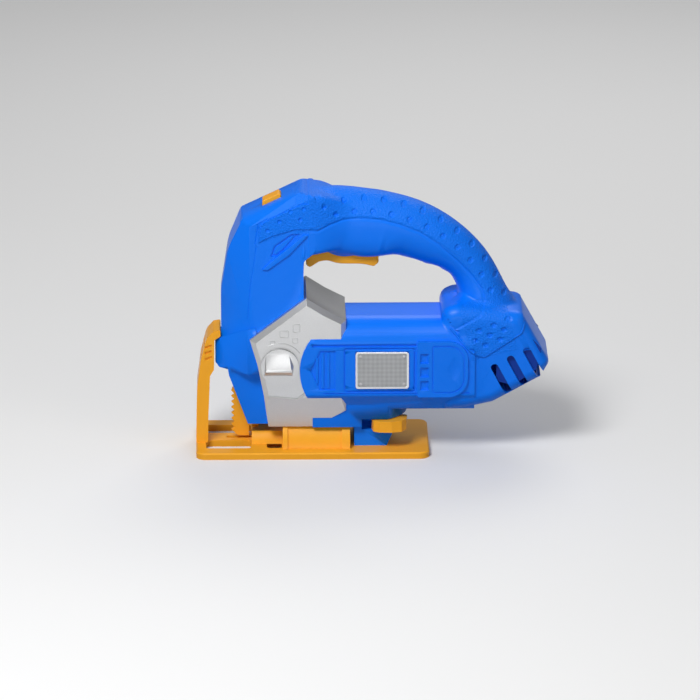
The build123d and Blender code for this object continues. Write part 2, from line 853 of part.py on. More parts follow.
with BuildPart() as pinion:
    toothed(pinion_teeth, motor_x, motor_z, pinion_phase, high_gear_y - 0.3, high_gear_y + gear_wide + 0.3)
    rod(motor_x, motor_z, motor_shaft_radius, -30, 0, mode=Mode.SUBTRACT)
pinion.part.label = "pinion"

motor_end_y = inner_plate_y + motor_long
with BuildPart() as motor_shaft:
    rod(motor_x, motor_z, motor_shaft_radius, high_gear_y - 0.8, motor_end_y + 4.4)
    rod(motor_x, motor_z, 6.0, inner_plate_y + 3, motor_end_y - 3)
    rod(motor_x, motor_z, 2.2, motor_end_y - 3, motor_end_y + 1.6)
motor_shaft.part.label = "motor_shaft"

with BuildPart() as motor_can:
    rod(motor_x, motor_z, motor_radius, inner_plate_y, motor_end_y)
    block(
        (motor_x - motor_flat, inner_plate_y, motor_z - motor_radius),
        (motor_x + motor_flat, motor_end_y, motor_z + motor_radius),
        mode=Mode.INTERSECT,
    )
    rod(motor_x, motor_z, 6.0 + 0.4, inner_plate_y + 2.6, motor_end_y + 1, mode=Mode.SUBTRACT)
    rod(motor_x, motor_z, 3.0, inner_plate_y - plate_thick, inner_plate_y)
    rod(motor_x, motor_z, motor_shaft_radius + run_fit, -20, 10, mode=Mode.SUBTRACT)
motor_can.part.label = "motor_can"

with BuildPart() as motor_endcap:
    rod(motor_x, motor_z, motor_radius - 0.4, motor_end_y, motor_end_y + 2.4)
    block(
        (motor_x - motor_flat + 0.3, motor_end_y, motor_z - motor_radius),
        (motor_x + motor_flat - 0.3, motor_end_y + 2.4, motor_z + motor_radius),
        mode=Mode.INTERSECT,
    )
    rod(motor_x, motor_z, 3.0, motor_end_y + 2.4, motor_end_y + 4.0)
    rod(motor_x, motor_z, 2.6, motor_end_y - 1, motor_end_y + 2.0, mode=Mode.SUBTRACT)
    rod(motor_x, motor_z, motor_shaft_radius + run_fit, 0, 30, mode=Mode.SUBTRACT)
    for flank in (-1, 1):
        x = motor_x + flank * 4.6
        block((x - 0.3, motor_end_y + 2.4, motor_z + 4), (x + 0.3, motor_end_y + 4.4, motor_z + 7))
motor_endcap.part.label = "motor_endcap"

with BuildPart() as gearbox_frame:
    slab(plate_points, 3, outer_plate_y, outer_plate_y + plate_thick)
    for x, z in frame_posts:
        rod(x, z, 2.4, outer_plate_y + plate_thick, inner_plate_y - plate_thick)
    for x, z in frame_posts:
        rod(x, z, screw_radius + run_fit, -30, 0, mode=Mode.SUBTRACT)
    rod(crank_x, crank_z, axle_radius + run_fit, -30, 0, mode=Mode.SUBTRACT)
    rod(idler_x, idler_z, axle_radius + run_fit, -30, 0, mode=Mode.SUBTRACT)
gearbox_frame.part.label = "gearbox_frame"

with BuildPart() as gearbox_cover:
    slab(plate_points, 3, inner_plate_y - plate_thick, inner_plate_y)
    for x, z in frame_posts:
        rod(x, z, screw_radius + run_fit, -30, 0, mode=Mode.SUBTRACT)
    rod(crank_x, crank_z, window_radius, -30, 0, mode=Mode.SUBTRACT)
    rod(idler_x, idler_z, axle_radius + run_fit, -30, 0, mode=Mode.SUBTRACT)
    rod(motor_x, motor_z, 3.0 + seat_gap, -30, 0, mode=Mode.SUBTRACT)
gearbox_cover.part.label = "gearbox_cover"

with BuildPart() as gearbox_screws:
    for x, z in frame_posts:
        rod(x, z, screw_radius, core_face_y - 0.9, inner_plate_y)
        rod(x, z, 2.4, inner_plate_y, inner_plate_y + 1.6)
        with Locations((x, inner_plate_y + 1.6, z)):
            Box(0.8, 1.4, 3.6, mode=Mode.SUBTRACT)
gearbox_screws.part.label = "gearbox_screws"

# ---- blade and its slide --------------------------------------------------------------------
tang_high_z = rod_low_z + 11
with BuildPart() as blade:
    teeth_edge = [(rod_x - 2, rod_low_z + 1), (blade_front_x, blade_teeth_z)]
    count = int((blade_teeth_z - 4 - blade_low_z) / tooth_pitch)
    for k in range(count):
        z = blade_teeth_z - (k + 1) * tooth_pitch
        teeth_edge.append((blade_front_x + tooth_deep, z + 0.4 * tooth_pitch))
        teeth_edge.append((blade_front_x, z))
    outline_points = teeth_edge + [
        (blade_front_x + 4, blade_low_z),
        (blade_back_x, blade_low_z),
        (blade_back_x, rod_low_z - 2),
        (rod_x + 2, rod_low_z + 1),
        (rod_x + 2, tang_high_z),
        (rod_x - 2, tang_high_z),
    ]
    with BuildSketch(side(blade_half)) as flat:
        with BuildLine():
            Polyline(*outline_points, close=True)
        make_face()
    extrude(flat.sketch, amount=2 * blade_half, dir=(0, -1, 0))
    rod(rod_x, rod_low_z + 5.5, 1.0 + run_fit, -5, 5, mode=Mode.SUBTRACT)
blade.part.label = "blade"

yoke_front_y = pin_end_y + 0.4
yoke_back_y = 0.0
with BuildPart() as blade_carrier:
    block((rod_x - rod_half_x, -rod_half_y, rod_low_z + 1.4), (rod_x + rod_half_x, rod_half_y, rod_high_z))
    yoke_end_x = crank_x + crank_throw + 5
    slab(
        [
            (rod_x, crank_z - 5.5), (yoke_end_x, crank_z - 5.5),
            (yoke_end_x, crank_z + 5.5), (rod_x, crank_z + 5.5),
        ],
        1.5, yoke_front_y, yoke_back_y,
    )
    slot_half = crank_throw + 1.8 + 0.8
    block(
        (crank_x - slot_half, -10, crank_z - 2.2), (crank_x + slot_half, 10, crank_z + 2.2),
        mode=Mode.SUBTRACT,
    )
    block(
        (rod_x - 2.1, -blade_half - 0.05, 0), (rod_x + 2.1, blade_half + 0.05, tang_high_z + 0.1),
        mode=Mode.SUBTRACT,
    )
    rod(rod_x, rod_low_z + 5.5, 1.0 + run_fit, -5, 5, mode=Mode.SUBTRACT)
blade_carrier.part.label = "blade_carrier"

with BuildPart() as blade_screw:
    rod(rod_x, rod_low_z + 5.5, 1.0, -rod_half_y, rod_half_y)
blade_screw.part.label = "blade_screw"

guide_high_z = rod_high_z - 2
guide_low_z = crank_z + 5.5 + stroke + 1.5
with BuildPart() as blade_guide:
    for low_z, high_z in ((guide_low_z, guide_low_z + 5), (guide_high_z - 8, guide_high_z)):
        block((rod_x - 6.5, -5.5, low_z), (rod_x + 6.5, 6.5, high_z))
    block((rod_x - 6.5, rod_half_y + 0.5, guide_low_z), (rod_x + 6.5, 6.5, guide_high_z))
    block((rod_x + 6.5, rod_half_y + 0.5, guide_high_z - 6), (rod_x + 13, head_half - wall, guide_high_z))
    block(
        (rod_x - rod_half_x - slide_fit, -rod_half_y - slide_fit, 0),
        (rod_x + rod_half_x + slide_fit, rod_half_y + slide_fit, 200),
        mode=Mode.SUBTRACT,
    )
blade_guide.part.label = "blade_guide"

# ---- power ----------------------------------------------------------------------------------
tray_back_y = cell_y - cell_radius - 1.8
with BuildPart() as battery_box:
    slab(window_points(0), 2, tray_back_y, tray_mouth_y)
    inner_x = cell_x - 0.5
    outer_x = cell_x + cell_long + spring_room
    block(
        (inner_x, tray_back_y + tray_wall, cell_low_z - cell_radius - 0.3),
        (outer_x, 40, cell_high_z + cell_radius + 0.3),
        mode=Mode.SUBTRACT,
    )
    rod(window[2] - 3.6, (window[1] + window[3]) / 2, screw_radius + run_fit, 12, 40, mode=Mode.SUBTRACT)
    add(barrel_room.part, mode=Mode.INTERSECT)
battery_box.part.label = "battery_box"

with BuildPart() as battery_door:
    slab(window_points(door_play), 1.8, tray_mouth_y + 0.1, 40)
    add(barrel_form.part, mode=Mode.INTERSECT)
    rod(window[2] - 3.6, (window[1] + window[3]) / 2, screw_radius + run_fit, 12, 40, mode=Mode.SUBTRACT)
    rod(window[2] - 3.6, (window[1] + window[3]) / 2, 2.6, barrel_half - 1.2, 40, mode=Mode.SUBTRACT)
battery_door.part.label = "battery_door"

with BuildPart() as door_screw:
    door_screw_z = (window[1] + window[3]) / 2
    rod(window[2] - 3.6, door_screw_z, screw_radius, 14, barrel_half - 1.2)
    rod(window[2] - 3.6, door_screw_z, 2.4, barrel_half - 1.2, barrel_half - 0.1)
    with Locations((window[2] - 3.6, barrel_half - 0.1, door_screw_z)):
        Box(0.7, 1.2, 3.6, mode=Mode.SUBTRACT)
        Box(3.6, 1.2, 0.7, mode=Mode.SUBTRACT)
door_screw.part.label = "door_screw"


def cell(z, nub_high_x):
    """AA cell along X with its nub at one end."""
    end = cell_x + cell_long if nub_high_x else cell_x
    body_low = cell_x if nub_high_x else cell_x + 1.2
    with BuildSketch(front_plane(body_low)) as face:
        with Locations((cell_y, z)):
            Circle(cell_radius)
    extrude(face.sketch, amount=cell_long - 1.2)
    with BuildSketch(front_plane(end - 1.2 if nub_high_x else end)) as nub:
        with Locations((cell_y, z)):
            Circle(2.6)
    extrude(nub.sketch, amount=1.2)


with BuildPart() as cell_1:
    cell(cell_low_z, True)
cell_1.part.label = "cell_1"

with BuildPart() as cell_2:
    cell(cell_high_z, False)
cell_2.part.label = "cell_2"

with BuildPart() as front_contact:
    block(
        (cell_x - 0.45, cell_y - 4, cell_low_z - 4), (cell_x - 0.05, cell_y + 4, cell_high_z + 4)
    )
front_contact.part.label = "front_contact"

with BuildPart() as rear_contacts:
    for z in (cell_low_z, cell_high_z):
        block((outer_x - 0.45, cell_y - 4, z - 5), (outer_x - 0.05, cell_y + 4, z + 5))
        for k in range(3):
            radius = 4.0 - 0.5 * k
            with BuildSketch(front_plane(outer_x - 1.35 - 1.1 * k)) as coil:
                with Locations((cell_y, z)):
                    Circle(radius)
                    Circle(radius - 0.9, mode=Mode.SUBTRACT)
            extrude(coil.sketch, amount=1.1 if k else 0.9)
rear_contacts.part.label = "rear_contacts"

# ---- trigger, switch and lock ---------------------------------------------------------------
trigger_points = [
    (-39.8, 129.5),
    (-39.6, 114.4),
    (-37.4, 112.6),
    (-32.0, 116.2),
    (-27.0, 117.2),
    (-20.5, 115.0),
    (-5.0, 114.8),
    (1.0, 113.1),
    (trigger_pivot_x + 4.4, 115.6),
    (trigger_pivot_x + 4.4, trigger_top_z),
    (-30.0, trigger_top_z),
]

with BuildPart() as trigger:
    slab(trigger_points, [2, 1.6, 1.4, 6, 8, 20, 30, 2, 2, 3.5, 3], -trigger_half, trigger_half)
    rod(trigger_pivot_x, trigger_pivot_z, trigger_pin_radius + run_fit, -20, 20, mode=Mode.SUBTRACT)
trigger.part.label = "trigger"

with BuildPart() as trigger_pin:
    rod(trigger_pivot_x, trigger_pivot_z, trigger_pin_radius, -9, 9)
trigger_pin.part.label = "trigger_pin"


def coil_spring(x, radius, wire, low_z, high_z, turns):
    """Upright compression spring with flat ends, as stacked rings joined by a riser."""
    pitch = (high_z - low_z - wire) / turns
    start = (x, 0, low_z + wire / 2)
    path = Helix(pitch=pitch, height=pitch * turns, radius=radius, center=start, mode=Mode.PRIVATE)
    with BuildSketch(Plane(origin=path @ 0, z_dir=path % 0)) as section:
        Circle(wire / 2)
    sweep(section.sketch, path=path)


with BuildPart() as trigger_spring:
    coil_spring(spring_x, 2.6, 0.8, trigger_top_z + 0.3, shelf_high_z - 2.2, 5)
trigger_spring.part.label = "trigger_spring"

with BuildPart() as switch_body:
    block((switch_x - 8, -5, switch_low_z), (switch_x + 8, 5, switch_high_z))
    block((switch_x - 8.5, -4, switch_low_z - 0.6), (switch_x - 6.5, 4, switch_low_z + 0.4))
    rod(switch_x - 5, switch_high_z - 3.2, 1.2, -10, 10, mode=Mode.SUBTRACT)
    post(switch_x, 0, 2.0 + slide_fit, switch_low_z - 1, switch_high_z - 3, mode=Mode.SUBTRACT)
switch_body.part.label = "switch_body"

with BuildPart() as switch_plunger:
    post(switch_x, 0, 2.0, trigger_top_z + 0.4, switch_low_z + 4)
switch_plunger.part.label = "switch_plunger"

with BuildPart() as lock_button:
    lock_top = top_z + lock_proud - slope * (head_peak_x - lock_x)
    slab(
        [
            (lock_x - lock_half_x, lock_flange_z),
            (lock_x + lock_half_x, lock_flange_z),
            (lock_x + lock_half_x, lock_top + slope * lock_half_x),
            (lock_x - lock_half_x, lock_top - slope * lock_half_x),
        ],
        [0.3, 0.3, 1.6, 1.6], -lock_half_y, lock_half_y,
    )
    block(
        (lock_x - lock_half_x - 1.2, -lock_half_y - 2, lock_flange_z),
        (lock_x + lock_half_x + 1.2, lock_half_y + 2, lock_flange_z + lock_flange_thick),
    )
lock_button.part.label = "lock_button"

with BuildPart() as lock_spring:
    coil_spring(lock_x, 2.6, 0.8, lock_shelf_z + 0.1, lock_flange_z - 0.3, 4)
lock_spring.part.label = "lock_spring"

# ---- selector knob --------------------------------------------------------------------------
with BuildPart() as selector_knob:
    face_y = -collar_half - 0.3
    rod(knob_x, knob_z, knob_radius, face_y - 2.0, face_y)
    rod(knob_x, knob_z, 5.0, face_y, core_face_y + 1.5)
    with BuildSketch(side(face_y - 2.0)) as low_face:
        with BuildLine():
            Polyline((knob_x - 9.5, knob_z - 5), (knob_x + 7.5, knob_z - 5), (knob_x + 8.2, knob_z + 1),
                     (knob_x + 5.5, knob_z + 8), (knob_x - 8.5, knob_z + 8), close=True)
        make_face()
    with BuildSketch(side(face_y - 4.6)) as high_face:
        with BuildLine():
            Polyline((knob_x - 8.5, knob_z - 2.2), (knob_x + 7.0, knob_z - 2.2),
                     (knob_x + 7.2, knob_z - 1.0), (knob_x + 6.6, knob_z - 0.4),
                     (knob_x - 8.2, knob_z - 0.4), close=True)
        make_face()
    loft([low_face.sketch.face(), high_face.sketch.face()], ruled=True)
selector_knob.part.label = "selector_knob"

with BuildPart() as knob_clip:
    rod(knob_x, knob_z, 6.2, core_face_y + 0.2, core_face_y + 1.2)
    rod(knob_x, knob_z, 5.0 + run_fit, -40, 0, mode=Mode.SUBTRACT)
knob_clip.part.label = "knob_clip"

# ---- bevel lever ----------------------------------------------------------------------------
lever_axis_y = lever_pin_y - 3
lever_points = [
    (-0.6, -18.5),
    (0.4, -23.6),
    (4.0, -25.8),
    (11.5, -26.3),
    (17.4, -24.4),
    (20.4, -19.6),
    (21.0, -12.0),
    (12.0, -9.0),
    (11.0, -5.2),
    (5.0, -5.2),
    (4.0, -12.0),
]

with BuildPart() as bevel_lever:
    extrude(
        profile(Plane.XY.offset(lever_low_z), lever_points, [1, 1, 1, 1, 1, 1, 1.5, 2, 2, 2, 3]),
        amount=lever_high_z - lever_low_z,
    )
    post(lever_pin_x, lever_axis_y, trigger_pin_radius + run_fit, 0, 40, mode=Mode.SUBTRACT)
bevel_lever.part.label = "bevel_lever"

with BuildPart() as lever_pin:
    post(lever_pin_x, lever_axis_y, trigger_pin_radius, 8.2, base_low_z + 1.4)
lever_pin.part.label = "lever_pin"

# ---- export ---------------------------------------------------------------------------------
pieces = [
    left_housing, right_housing, left_collar, right_collar, nameplate, side_cover,
    shoe, saddle, guard, shoe_screws, housing_screws,
    crank_gear, crank_axle, idler_gear, idler_axle, pinion, motor_shaft, motor_can, motor_endcap,
    gearbox_frame, gearbox_cover, gearbox_screws,
    blade, blade_carrier, blade_screw, blade_guide,
    battery_box, battery_door, door_screw, cell_1, cell_2, front_contact, rear_contacts,
    trigger, trigger_pin, trigger_spring, switch_body, switch_plunger, lock_button, lock_spring,
    selector_knob, knob_clip, bevel_lever, lever_pin,
]
for piece in pieces:
    export_step(piece.part, f"parts/{piece.part.label}.step")
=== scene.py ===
import math
import json
from contextlib import contextmanager

import bpy
import numpy as np
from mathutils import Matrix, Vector
from mathutils.bvhtree import BVHTree


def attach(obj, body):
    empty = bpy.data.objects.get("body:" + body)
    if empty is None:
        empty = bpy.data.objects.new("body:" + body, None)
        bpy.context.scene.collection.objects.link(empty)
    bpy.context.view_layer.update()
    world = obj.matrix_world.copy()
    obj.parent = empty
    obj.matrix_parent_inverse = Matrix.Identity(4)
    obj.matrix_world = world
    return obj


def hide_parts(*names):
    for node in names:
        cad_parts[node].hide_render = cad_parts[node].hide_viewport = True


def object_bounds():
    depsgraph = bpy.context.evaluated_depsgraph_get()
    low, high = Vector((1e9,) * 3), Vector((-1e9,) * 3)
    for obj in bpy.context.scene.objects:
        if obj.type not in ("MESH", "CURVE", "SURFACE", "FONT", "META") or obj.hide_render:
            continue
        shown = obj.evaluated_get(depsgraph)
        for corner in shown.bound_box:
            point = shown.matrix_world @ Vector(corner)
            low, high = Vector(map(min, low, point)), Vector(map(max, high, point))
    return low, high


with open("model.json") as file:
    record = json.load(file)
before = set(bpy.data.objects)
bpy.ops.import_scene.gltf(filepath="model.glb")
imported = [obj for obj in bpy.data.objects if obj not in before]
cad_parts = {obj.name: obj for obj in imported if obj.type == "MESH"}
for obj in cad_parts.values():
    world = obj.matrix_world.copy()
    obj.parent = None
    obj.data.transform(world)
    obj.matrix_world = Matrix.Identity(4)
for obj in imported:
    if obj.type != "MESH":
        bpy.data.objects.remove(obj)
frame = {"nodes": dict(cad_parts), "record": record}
cad_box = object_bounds()
MM = 0.001
BODY_OF_NODE = {n: b for b, nodes in frame["record"]["behaviour"]["bodies"].items() for n in nodes}


# ---- shader expressions -----------------------------------------------------------------------
class Field:
    """A socket of a material's node tree. Sums, products and comparisons of fields add Math nodes."""

    def __init__(self, tree, socket):
        self.tree = tree
        self.socket = socket

    def plug(self, target):
        self.tree.links.new(self.socket, target)

    def math(self, operation, *others, flip=False, clamp=False):
        node = self.tree.nodes.new("ShaderNodeMath")
        node.operation = operation
        node.use_clamp = clamp
        values = [self, *others]
        if flip:
            values.reverse()
        for slot, value in zip(node.inputs, values):
            if isinstance(value, Field):
                value.plug(slot)
            else:
                slot.default_value = value
        return Field(self.tree, node.outputs[0])

    def __add__(self, other):
        return self.math("ADD", other)

    def __sub__(self, other):
        return self.math("SUBTRACT", other)

    def __mul__(self, other):
        return self.math("MULTIPLY", other)

    def __pow__(self, other):
        return self.math("POWER", other)

    def __gt__(self, other):
        return self.math("GREATER_THAN", other)

    def __lt__(self, other):
        return self.math("LESS_THAN", other)

    def __rsub__(self, other):
        return self.math("SUBTRACT", other, flip=True)

    __radd__ = __add__
    __rmul__ = __mul__

    def clamped(self):
        return self.math("ADD", 0.0, clamp=True)


class Nodes:
    """A node tree, with the one way that nodes are added to it."""

    def __init__(self, tree):
        self.tree = tree

    def node(self, kind, settings, values, output=0):
        """Adds a node with its settings and the values or links of its sockets."""
        node = self.tree.nodes.new(kind)
        for key, value in settings.items():
            setattr(node, key, value)
        for key, value in values.items():
            if isinstance(value, Field):
                value.plug(node.inputs[key])
            else:
                node.inputs[key].default_value = value
        return Field(self.tree, node.outputs[output])

    def mix(self, share, first, second):
        """Blends two colours, each a field or red, green and blue."""
        colours = [c if isinstance(c, Field) else (*c, 1) for c in (first, second)]
        return self.node("ShaderNodeMix", {"data_type": "RGBA"}, {0: share, 6: colours[0], 7: colours[1]}, 2)

    def axes(self, place):
        """The x, y and z of a vector field."""
        split = self.node("ShaderNodeSeparateXYZ", {}, {"Vector": place})
        return [Field(self.tree, output) for output in split.socket.node.outputs]


class Finish(Nodes):
    """A material whose look is worked out from Object coordinates."""

    SOCKETS = {"colour": "Base Color", "roughness": "Roughness"}
    COAT_ROUGHNESS = 0.12
    PLASTIC_GLOSS, METAL_GLOSS = 0.22, 0.5

    def __init__(self, name, colour, roughness, metallic=0.0, coat=0.0):
        self.material = bpy.data.materials.new(name)
        self.material.use_nodes = True
        super().__init__(self.material.node_tree)
        self.shader = self.tree.nodes["Principled BSDF"]
        for socket, value in (
            ("Base Color", (*colour, 1)),
            ("Roughness", roughness),
            ("Metallic", metallic),
            ("Coat Weight", coat),
            ("Coat Roughness", self.COAT_ROUGHNESS),
            ("Specular IOR Level", self.PLASTIC_GLOSS if metallic < 0.5 else self.METAL_GLOSS),
        ):
            self.shader.inputs[socket].default_value = value
        self.place = self.node("ShaderNodeTexCoord", {}, {}, "Object")

    def noise(self, scale, detail=3.0, rough=0.5):
        values = {"Vector": self.place, "Scale": scale, "Detail": detail, "Roughness": rough}
        return self.node("ShaderNodeTexNoise", {}, values)

    def cells(self, scale):
        return self.node("ShaderNodeTexVoronoi", {}, {"Vector": self.place, "Scale": scale})

    def millimetres(self):
        """The object's x, y and z as fields, in millimetres."""
        return [axis * (1 / MM) for axis in self.axes(self.place)]

    def bump(self, height, distance, strength):
        values = {"Height": height, "Distance": distance, "Strength": strength}
        self.node("ShaderNodeBump", {}, values).plug(self.shader.inputs["Normal"])

    def feed(self, **fields):
        for key, value in fields.items():
            value.plug(self.shader.inputs[self.SOCKETS[key]])


FINE_GRAIN = 1900.0         # scale of the grain of smooth plastic


def shade(colour, factor):
    return tuple(min(1.0, c * factor) for c in colour)


def moulded(name, colour, roughness):
    """Injection-moulded plastic: a faint flow mottle, a fine spark-eroded grain."""
    finish = Finish(name, colour, roughness)
    mottle = finish.noise(28.0, 4.0)
    finish.feed(
        colour=finish.mix(mottle, shade(colour, 0.9), shade(colour, 1.1)),
        roughness=mottle * 0.12 + (roughness - 0.06),
    )
    finish.bump(finish.noise(FINE_GRAIN, 2.0), 0.03 * MM, 0.5)
    return finish.material


# the grip's grain ends on an arc, and the foot's on a leaning rectangle, in side view
GRIP_CENTRE = (-8.0, 63.0)
GRIP_RADIUS = 82.8
FOOT_CENTRE = (69.0, 80.0)
FOOT_ALONG, FOOT_ACROSS = 0.97, 0.23
FOOT_HALF_WIDTH_SQUARED = 190.0


def gripped(name, colour, roughness):
    """Smooth plastic with a leather grain on the upper grip, behind the head and on the handle's foot."""
    finish = Finish(name, colour, roughness)
    x, y, z = finish.millimetres()
    reach = ((x - GRIP_CENTRE[0]) ** 2.0 + (z - GRIP_CENTRE[1]) ** 2.0) ** 0.5
    arch = (reach > GRIP_RADIUS) * ((x > -46.0) * (z > 92.0))
    aside, above = x - FOOT_CENTRE[0], z - FOOT_CENTRE[1]
    lean = aside * FOOT_ALONG + above * FOOT_ACROSS
    drop = above * FOOT_ALONG - aside * FOOT_ACROSS
    foot = (lean * lean < FOOT_HALF_WIDTH_SQUARED) * (drop > -17.0) * (drop < 16.0)
    nape = (z - 140.2 - (x + 46.0) * 0.4 > 0.0) * (x > -68.2) * (x < -45.0)
    nape = nape * (z - 155.6 - (x + 46.0) * 0.62 < 0.0)
    mask = (arch + foot + nape).clamped()
    mottle = finish.noise(24.0, 4.0)
    leather = finish.cells(1000.0) * 0.6 + finish.noise(1100.0, 3.0, 0.6) * 0.5
    fine = finish.noise(FINE_GRAIN, 2.0)
    finish.feed(
        colour=finish.mix(mottle, shade(colour, 0.93), shade(colour, 1.07)),
        roughness=mottle * 0.1 + mask * 0.1 + (roughness - 0.05),
    )
    finish.bump(mask * leather + (1 - mask) * fine * 0.05, 0.6 * MM, 0.9)
    return finish.material


def flaked(name, colour, roughness, metallic):
    """Silver paint: tiny flakes that vary the tone and the gloss."""
    finish = Finish(name, colour, roughness, metallic, coat=0.25)
    flakes = finish.cells(2600.0)
    cloud = finish.noise(40.0, 3.0)
    finish.feed(
        colour=finish.mix(flakes * 0.5 + cloud * 0.4, shade(colour, 0.86), shade(colour, 1.12)),
        roughness=cloud * 0.12 + (roughness - 0.06),
    )
    finish.bump(flakes, 0.02 * MM, 0.3)
    return finish.material


def plated(name, colour, roughness):
    """Bright plating or drawn wire, very slightly uneven."""
    finish = Finish(name, colour, roughness, 1.0)
    cloud = finish.noise(90.0, 3.0)
    finish.feed(
        colour=finish.mix(cloud, shade(colour, 0.88), shade(colour, 1.08)),
        roughness=cloud * 0.1 + (roughness - 0.03),
    )
    finish.bump(finish.noise(500.0, 2.0), 0.02 * MM, 0.3)
    return finish.material


TREAD_PITCH = 1.15          # radians per millimetre


def speckled(name):
    """Pale printed plate face: a soft grey tread pattern in a thin print."""
    colour = (0.40, 0.41, 0.42)
    finish = Finish(name, colour, 0.42, 0.15)
    x, y, z = finish.millimetres()
    run, climb = x * TREAD_PITCH, z * TREAD_PITCH
    weave = ((run + climb).math("SINE") * (run - climb).math("SINE")) * 0.5 + 0.5
    grain = finish.noise(300.0, 4.0)
    finish.feed(colour=finish.mix(weave * 0.55 + grain * 0.4, shade(colour, 0.8), shade(colour, 1.2)))
    finish.bump(weave, 0.08 * MM, 0.4)
    return finish.material


BAND_START = 34.0           # x where the end band of the cells begins


def jacketed(name):
    """Cell sleeve: dark film with a copper-toned end band."""
    finish = Finish(name, (0.03, 0.03, 0.035), 0.3, coat=0.4)
    x, y, z = finish.millimetres()
    band = x > BAND_START
    film = finish.noise(60.0, 3.0)
    dark = finish.mix(film, (0.02, 0.02, 0.022), (0.05, 0.05, 0.055))
    finish.feed(colour=finish.mix(band, dark, (0.5, 0.2, 0.06)), roughness=film * 0.1 + 0.25)
    return finish.material


BLUE = (0.0, 0.185, 0.97)
ORANGE = (0.96, 0.41, 0.022)
SILVER = (0.60, 0.605, 0.61)
finishes = {
    "blue_plastic": gripped("blue_shell", BLUE, 0.36),
    "silver_paint": flaked("silver_paint", SILVER, 0.34, 0.9),
    "plate_chrome": plated("plate_chrome", (0.80, 0.82, 0.84), 0.12),
    "orange_plastic": moulded("orange_shell", ORANGE, 0.34),
    "screw_steel": plated("screw_steel", (0.55, 0.55, 0.56), 0.3),
    "axle_steel": plated("axle_steel", (0.62, 0.62, 0.63), 0.22),
    "motor_steel": plated("motor_steel", (0.5, 0.51, 0.53), 0.32),
    "spring_steel": plated("spring_steel", (0.42, 0.42, 0.44), 0.28),
    "gear_nylon": moulded("gear_nylon", (0.78, 0.77, 0.72), 0.45),
    "grey_plastic": moulded("grey_plastic", (0.12, 0.125, 0.13), 0.5),
    "black_plastic": moulded("black_plastic", (0.02, 0.02, 0.022), 0.45),
    "contact_brass": plated("contact_brass", (0.78, 0.62, 0.32), 0.25),
    "cell_jacket": jacketed("cell_jacket"),
}
plate_face = speckled("plate_face")
# a darker copy of the blue: painted shade on the sheet behind the vents
shadow_blue = moulded("shadow_blue", (0.0, 0.04, 0.32), 0.5)
SLOT_OF_NODE = {s["node"]: s["material_slot"] for s in frame["record"]["subparts"]}


def coat(piece, material):
    piece.data.materials.clear()
    piece.data.materials.append(material)


for name, node in frame["nodes"].items():
    coat(node, finishes[SLOT_OF_NODE[name]])


# ---- modelling helpers ------------------------------------------------------------------------
WELD = 0.002                # millimetres between corners that are one
FLAT_DEGREES = 0.6
SHARP_DEGREES = 32
REACH = 100.0               # millimetres, outside the tool in any direction
DEFAULT_SIDE = 26.0         # half width where a ray finds no surface
BARREL_SIDE = 27.0          # half width of the barrel


def pick(*objects):
    """Selects only these objects, the first one active."""
    bpy.ops.object.select_all(action="DESELECT")
    for piece in objects:
        piece.select_set(True)
    bpy.context.view_layer.objects.active = objects[0]


@contextmanager
def editing(piece):
    """Edit mode on one piece, with its whole mesh selected."""
    pick(piece)
    bpy.ops.object.mode_set(mode="EDIT")
    bpy.ops.mesh.select_all(action="SELECT")
    yield
    bpy.ops.object.mode_set(mode="OBJECT")


def apply_all(piece):
    """Applies the modifiers of a piece, in their order."""
    pick(piece)
    for modifier in list(piece.modifiers):
        bpy.ops.object.modifier_apply(modifier=modifier.name)


def settle(piece):
    """Moves the object's place, turn and scale into its mesh."""
    pick(piece)
    bpy.ops.object.transform_apply(location=True, rotation=True, scale=True)
    return piece


def join(name, pieces):
    pick(*pieces)
    bpy.ops.object.join()
    joined = bpy.context.view_layer.objects.active
    joined.name = name
    return settle(joined)


def cad_copy(name, node):
    """A merged copy of a CAD node's mesh, to be worked on and shown in its place."""
    source = frame["nodes"][node]
    piece = bpy.data.objects.new(name, source.data.copy())
    bpy.context.scene.collection.objects.link(piece)
    piece.matrix_world = source.matrix_world.copy()
    with editing(settle(piece)):
        bpy.ops.mesh.remove_doubles(threshold=WELD * MM)
    return piece


def dissolve_flats(piece):
    """Joins the triangles of each flat face into one."""
    with editing(piece):
        bpy.ops.mesh.dissolve_limited(angle_limit=math.radians(FLAT_DEGREES))


def round_edges(piece, width):
    """Rounds the sharp edges of a piece, and shades its flats and bends apart."""
    bevel = piece.modifiers.new("rounding", "BEVEL")
    bevel.width = width * MM
    bevel.segments = 2
    bevel.limit_method = "ANGLE"
    bevel.angle_limit = math.radians(SHARP_DEGREES)
    apply_all(piece)
    smooth(piece)


def smooth(piece, degrees=35):
    """Smooth shading that breaks at sharp edges and follows the larger faces."""
    pick(piece)
    bpy.ops.object.shade_smooth_by_angle(angle=math.radians(degrees))
    weighing = piece.modifiers.new("weighing", "WEIGHTED_NORMAL")
    weighing.keep_sharp = True
    apply_all(piece)


def place(piece, body, slot, *nodes, material=None):
    """Rides a piece on its body, coats it with its finish and hides the CAD nodes that it stands for."""
    coat(piece, material or finishes[slot])
    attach(piece, body)
    if nodes:
        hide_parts(*nodes)
    return piece


def cut(piece, cutters):
    """Takes the cutters out of a piece."""
    tool = join("cutters", cutters) if len(cutters) > 1 else cutters[0]
    carve = piece.modifiers.new("carve", "BOOLEAN")
    carve.operation = "DIFFERENCE"
    carve.solver = "EXACT"
    carve.use_self = True
    carve.object = tool
    apply_all(piece)
    bpy.data.objects.remove(tool)
    return piece


def surface_of(piece):
    return BVHTree.FromPolygons(
        [piece.matrix_world @ v.co for v in piece.data.vertices],
        [tuple(p.vertices) for p in piece.data.polygons],
    )


